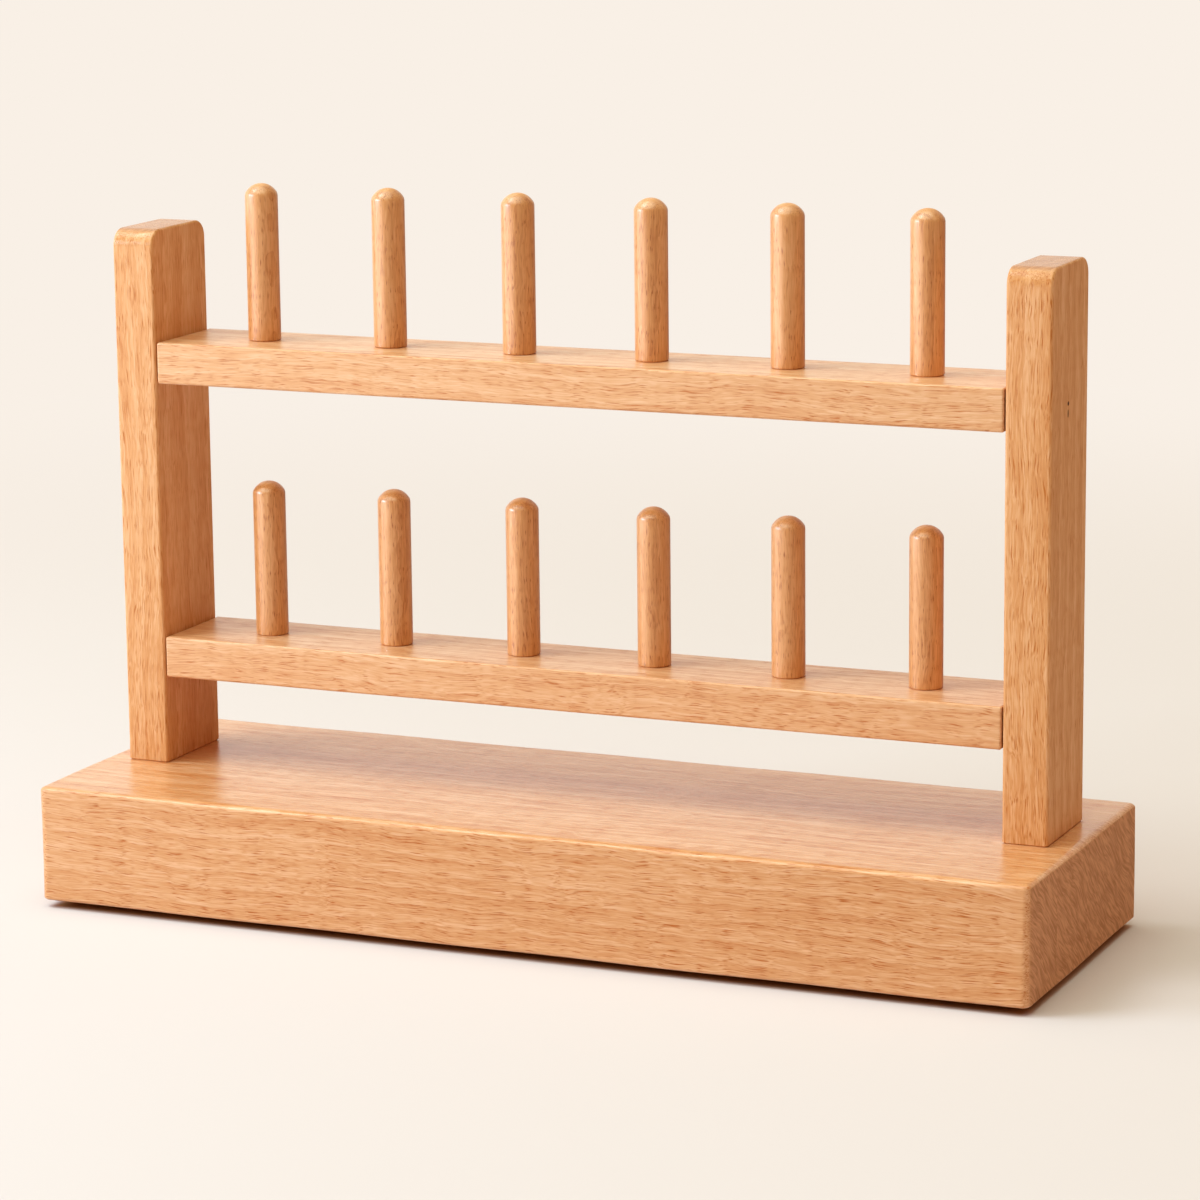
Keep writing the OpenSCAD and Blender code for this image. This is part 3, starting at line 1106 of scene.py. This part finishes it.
def post_outline(depth, height, inset):
    """Side view of a post from its front foot over the top to its back foot, drawn in by the inset.

    The corners are arcs about fixed centres, so drawing in shortens their radius alone.
    """
    inset = np.asarray(inset)[..., None]
    upright = np.linspace(POST_FOOT_EASE, height - POST_CORNER, UPRIGHT_STEPS)
    upright = np.concatenate([[0], upright[:-1]])
    arc = np.linspace(0, math.pi / 2, ARC_STEPS + 1)
    flat = np.linspace(-1, 1, TOP_STEPS)[1:-1] * (depth / 2 - POST_CORNER)
    radius = POST_CORNER - inset
    centre_y = depth / 2 - POST_CORNER
    centre_z = height - POST_CORNER
    front_y = -centre_y - radius * np.cos(arc)
    front_z = centre_z + radius * np.sin(arc)
    side_y = inset - depth / 2 + 0 * upright
    rest_z = upright + 0 * inset
    half_y = np.concatenate([side_y, front_y], axis=-1)
    half_z = np.concatenate([rest_z, front_z], axis=-1)
    top_y = flat + 0 * inset
    top_z = height - inset + 0 * flat
    y = np.concatenate([half_y, top_y, -half_y[..., ::-1]], axis=-1)
    z = np.concatenate([half_z, top_z, half_z[..., ::-1]], axis=-1)
    return y, z


def post_grids(low, high):
    """Skin, two broad faces and foot of a post.

    Skin: the outline at each station through the thickness, drawn in by the easing times one minus
    the cosine of the way round the quarter circle. Broad face: each outline point is joined to the
    middle line of the face. Foot: the front edge joined to the back edge.
    """
    width, depth, height = high - low
    centre = np.array(((low[0] + high[0]) / 2, (low[1] + high[1]) / 2, low[2]))
    quarter = np.linspace(0, math.pi / 2, ROUND_STEPS * 2 + 1)
    out = width / 2 - EDGE_EASE + EDGE_EASE * np.sin(quarter)
    through = np.concatenate([-out[::-1], out])
    drawn = EDGE_EASE * (1 - np.cos(quarter))
    inset = np.concatenate([drawn[::-1], drawn])
    y, z = post_outline(depth, height, inset)
    skin = np.stack([through[:, None] + 0 * y, y, z], axis=-1)
    skin[:, (0, -1), :2] -= POST_FOOT_EASE * np.sign(skin[:, (0, -1), :2])
    middle = np.stack([skin[..., 0], 0 * y, np.minimum(z, height - POST_CORNER)], axis=-1)
    blend = np.linspace(0, 1, SIDE_STEPS + 1)[:, None, None]
    broad = [skin[k] * (1 - blend) + middle[k] * blend for k in (0, -1)]
    across = np.linspace(0, 1, 2 * SIDE_STEPS + 1)[:, None, None]
    foot = skin[:, 0] * (1 - across) + skin[:, -1] * across
    return [whole(grid + centre) for grid in (skin, *broad, foot)]


for side in ("left", "right"):
    post = closed_piece(
        f"beech_{side}_post", post_grids(*box_of(f"{side}_post")), post_beech, "stand"
    )
    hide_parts(f"{side}_post")

# %% [markdown]
# ## Pegs
# The pegs are lengths of dowel, turned down at the foot to a tenon that pushes into the rail, and
# domed at the top so that a spool slips on. A turned piece is a profile swung round an axis: each
# point of the surface is a radius and a height of the profile at some angle.

# %% Pegs
TENON_STEP = 1.0 * MM
TENON_LEAD = 0.8 * MM
FOOT_EASE = 0.35 * MM
DOME_HEIGHT = 3.1 * MM
DOME_BLEND = 0.35 * MM
DOME_STEPS = 14
SHAFT_STEPS = 9
TURN_STEPS = 56


def peg_profile(radius, tenon_depth, rise):
    """Radius and height from the tenon's end over the shoulder and up the shaft to the dome's top.

    The dome is the cap of a ball with the peg's radius and the dome's height, and a short soft line
    takes the corner off where it meets the shaft.
    """
    tenon = radius - TENON_STEP
    ball = (radius**2 + DOME_HEIGHT**2) / (2 * DOME_HEIGHT)
    widest = math.asin(radius / ball)
    shaft_top = rise - DOME_HEIGHT
    cap = np.linspace(widest - DOME_BLEND / ball, 0, DOME_STEPS)
    foot = [
        (0, -tenon_depth),
        (tenon - TENON_LEAD / 2, -tenon_depth),
        (tenon, TENON_LEAD - tenon_depth),
        (tenon, 0),
        (radius - FOOT_EASE, 0),
        (radius, FOOT_EASE),
    ]
    heights = np.linspace(FOOT_EASE * 2, shaft_top - DOME_BLEND, SHAFT_STEPS)
    shaft = [(radius, height) for height in heights]
    dome = np.stack([ball * np.sin(cap), rise - ball + ball * np.cos(cap)], axis=-1)
    return np.concatenate([foot, shaft, dome])


def turned(profile, centre):
    """Surface of revolution: the profile's radius at every angle about an upright axis, at its height."""
    angle = np.linspace(0, 2 * math.pi, TURN_STEPS + 1)
    radius, height = profile[:, :1], profile[:, 1:]
    return centre + np.stack(
        [radius * np.cos(angle), radius * np.sin(angle), height + 0 * angle], axis=-1
    )


for row in ROWS:
    rail_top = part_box(f"{row}_rail")[1].z
    for i in PEGS:
        node = f"{row}_peg_{i}"
        peg_low, peg_high = box_of(node)
        foot = np.array((*(peg_low + peg_high)[:2] / 2, rail_top))
        radius = (peg_high[0] - peg_low[0]) / 2
        profile = peg_profile(radius, rail_top - peg_low[2], peg_high[2] - rail_top)
        skin = whole(turned(profile, foot))
        peg = closed_piece(f"beech_{node}", [skin], peg_beech, node)
        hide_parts(node)

# %% [markdown]
# ## Hidden dowels, screws and pads
# The dowels in the rail ends, the screws under the posts and the pads under the base keep the
# frame's own shapes. The dowels are bare beech, the screws are zinc-plated steel, and the pads are
# black rubber. All that shows of them is a dark gap of 2 mm under the base.

# %% Finishes of the hidden pieces
# Real zinc crystals and specks of dust are finer, and are drawn as coarse as they need to show.
CRYSTAL = 0.6 * MM
STEEL_ROUGHNESS = {"To Min": 0.28, "To Max": 0.42}
DUST = 3 * MM
RUBBER_ROUGHNESS = 0.7

bare_beech = beech(
    "bare_beech_dowel",
    grain="X",
    gloss=0.2,
    film=(0, 0.3),
    tones=("F0CBA2", "E6B685", "C08C5C"),
    ends=CUT_TONES,
)


def zinc_plate(name):
    """Zinc-plated steel: a cool grey metal whose thin crystals break the sheen into soft patches."""
    material, out = blank_material(name)
    tree = material.node_tree
    place = add_node(tree, "ShaderNodeTexCoord")
    crystals = add_node(
        tree, "ShaderNodeTexVoronoi", {"Scale": 1 / CRYSTAL}, {"Vector": place.outputs["Object"]}
    )
    tone = add_node(tree, "ShaderNodeSeparateColor", links={0: crystals.outputs["Color"]})
    grey = add_node(tree, "ShaderNodeValToRGB", links={0: tone.outputs[0]})
    grey.color_ramp.elements[0].color = linear("B9BCBE")
    grey.color_ramp.elements[1].color = linear("D2D3D1")
    sheen = add_node(tree, "ShaderNodeMapRange", STEEL_ROUGHNESS, {"Value": tone.outputs[1]})
    steel = add_node(
        tree,
        "ShaderNodeBsdfPrincipled",
        {"Metallic": 1.0},
        {"Base Color": grey.outputs[0], "Roughness": sheen.outputs[0]},
    )
    tree.links.new(steel.outputs[0], out.inputs["Surface"])
    return material


def black_rubber(name):
    """Moulded rubber: nearly black and dull, with a faint cloud of dust."""
    material, out = blank_material(name)
    tree = material.node_tree
    place = add_node(tree, "ShaderNodeTexCoord")
    dust = add_node(
        tree,
        "ShaderNodeTexNoise",
        {"Scale": 1 / DUST, "Detail": 3},
        {"Vector": place.outputs["Object"]},
    )
    tone = add_node(tree, "ShaderNodeValToRGB", links={0: dust.outputs["Fac"]})
    tone.color_ramp.elements[0].color = linear("262524")
    tone.color_ramp.elements[1].color = linear("3A3835")
    rubber = add_node(
        tree,
        "ShaderNodeBsdfPrincipled",
        {"Roughness": RUBBER_ROUGHNESS},
        {"Base Color": tone.outputs[0]},
    )
    tree.links.new(rubber.outputs[0], out.inputs["Surface"])
    return material


# The last word of a node's name tells its kind.
hidden = {
    "dowels": bare_beech,
    "screws": zinc_plate("zinc_plated_steel"),
    "pad": black_rubber("black_rubber"),
}
print("hidden kinds:", list(hidden))

# %% Dowels, screws and pads
for name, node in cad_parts.items():
    finish = hidden.get(name.split("_")[-1])
    if finish:
        for material_slot in node.material_slots:
            material_slot.material = finish
        print(name, "finished in", finish.name)
